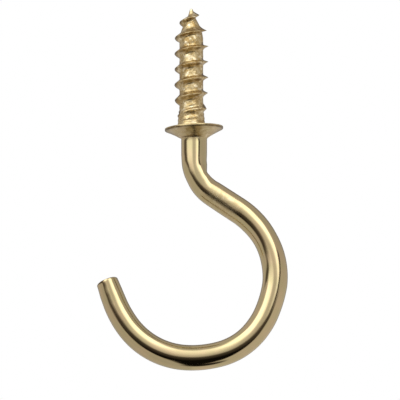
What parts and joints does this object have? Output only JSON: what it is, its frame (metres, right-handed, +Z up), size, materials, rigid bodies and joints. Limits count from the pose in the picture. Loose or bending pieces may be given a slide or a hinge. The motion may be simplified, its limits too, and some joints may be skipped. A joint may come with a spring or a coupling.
{
  "type": "cup hook",
  "caption": "Shouldered screw-in cup hook of round wire, with a wood-screw thread, a thin conical collar and an open round bowl.",
  "frame": {"origin": "on the screw's axis, in the plane of the collar's top seat", "axes": "+Z up the screw to its point, into the wood; the hook hangs below the seat in the XZ plane, its mouth facing -X; the wire's thickness lies along Y"},
  "size_m": [0.0251, 0.0076, 0.0478],
  "materials": {
    "plated_wire": "bright pale brass plate on wire, polished on the hook, rougher and more golden on the rolled thread"
  },
  "bodies": {
    "root": {"cup_hook": "plated_wire"}
  },
  "joints": []
}
